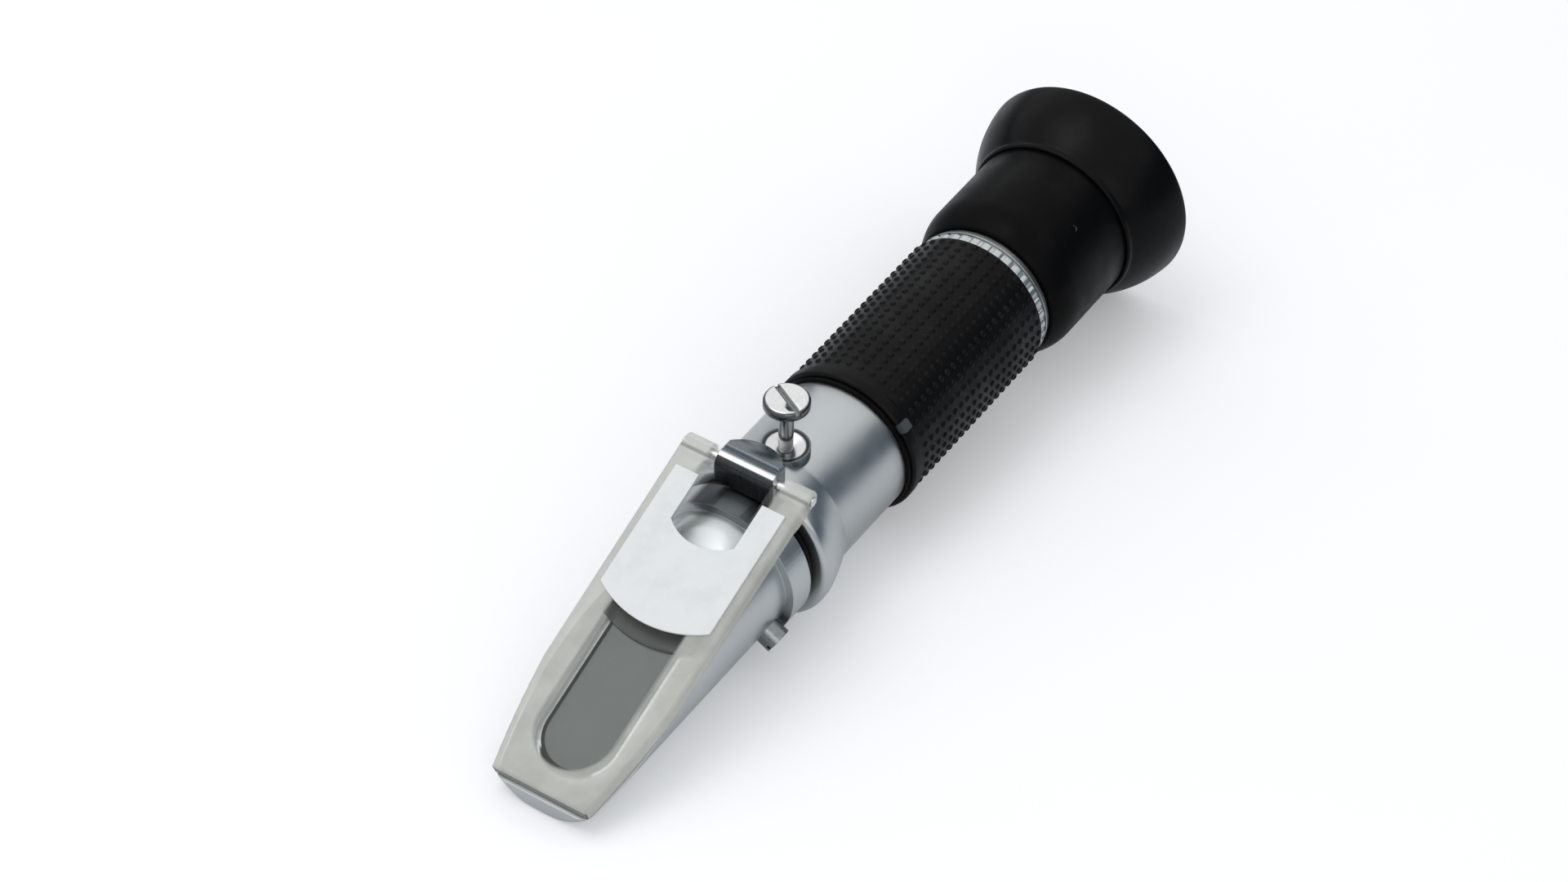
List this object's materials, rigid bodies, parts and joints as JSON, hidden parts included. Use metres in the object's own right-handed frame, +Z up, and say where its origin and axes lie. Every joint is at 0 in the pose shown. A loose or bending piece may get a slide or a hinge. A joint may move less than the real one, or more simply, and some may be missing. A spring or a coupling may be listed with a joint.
{
  "type": "hand-held refractometer",
  "caption": "Hand-held tube refractometer with a hinged daylight plate over its prism, a zero-set screw, a ribbed grip and a focusing eyepiece.",
  "frame": {"origin": "middle of the small flat under the barrel's flange, on which the instrument lies", "axes": "+Z up, +X along the tube towards the eyecup as it lies, +Y across; the tube's own axis rises 3.29 degrees towards the eyecup"},
  "size_m": [0.1654, 0.04, 0.0399],
  "materials": {
    "satin_aluminium": "satin",
    "bright_steel": "polished",
    "dark_steel": "blackened",
    "black_metal": "matt black",
    "black_plastic": "semi-matt",
    "black_rubber": "soft matt",
    "grip_rubber": "moulded pips",
    "frosted_plastic": "frosted",
    "label_film": "satin",
    "mask_film": "matt",
    "optical_glass": "polished"
  },
  "bodies": {
    "tube": {"prism_box": "satin_aluminium", "measuring_prism": "optical_glass", "prism_gasket": "black_rubber", "baffle_tube": "black_metal", "box_screws": "bright_steel", "seal_ring": "black_rubber", "barrel": "satin_aluminium", "hinge_block": "satin_aluminium", "hinge_pin": "bright_steel", "hinge_block_stud": "bright_steel", "calibration_bush": "satin_aluminium", "stem_seal": "black_rubber", "aperture_stop": "black_metal", "scale_disc": "optical_glass", "scale_disc_ring": "black_metal", "grip_ring": "black_plastic", "grip_key": "black_plastic", "grip_sleeve": "grip_rubber", "stop_ring": "satin_aluminium"},
    "cover": {"daylight_plate": "frosted_plastic", "name_plate": "label_film", "light_mask": "mask_film"},
    "zero_screw": {"calibration_screw": "bright_steel"},
    "objective": {"objective_cell": "black_metal", "cell_pivots": "bright_steel", "objective_lens": "optical_glass", "objective_lock_ring": "black_metal"},
    "focus_slide": {"lens_tube": "black_metal", "guide_pin": "bright_steel", "field_lens": "optical_glass", "lens_spacer": "black_metal", "eye_lens": "optical_glass", "lens_lock_ring": "black_metal"},
    "eyepiece": {"eyepiece_barrel": "black_plastic", "eyepiece_set_screws": "dark_steel", "eyecup": "black_rubber"}
  },
  "joints": [
    {"name": "cover_hinge", "type": "hinge", "parent": "tube", "child": "cover", "pos_m": [-0.00492, 0, 0.03065], "axis": [0, 1, 0], "range_deg": [0, 140]},
    {"name": "calibration_turn", "type": "hinge", "parent": "tube", "child": "zero_screw", "pos_m": [0.00538, 0, 0.03887], "axis": [-0.0574, 0, 0.9983], "range_deg": [-90, 90]},
    {"name": "objective_tilt", "type": "hinge", "parent": "tube", "child": "objective", "pos_m": [0.00897, 0, 0.01464], "axis": [0, 1, 0], "range_deg": [-1.3, 1.3]},
    {"name": "focus_travel", "type": "slide", "parent": "tube", "child": "focus_slide", "axis": [0.9983, 0, 0.0574], "range_m": [0, 0.003]},
    {"name": "focus_turn", "type": "hinge", "parent": "focus_slide", "child": "eyepiece", "pos_m": [0.06878, 0, 0.01808], "axis": [0.9983, 0, 0.0574], "range_deg": [0, 240]}
  ],
  "couplings": [
    {"joint": "objective_tilt", "follows": "calibration_turn", "ratio": -0.01441},
    {"joint": "focus_travel", "follows": "focus_turn", "m_per_rad": 0.00071613}
  ]
}
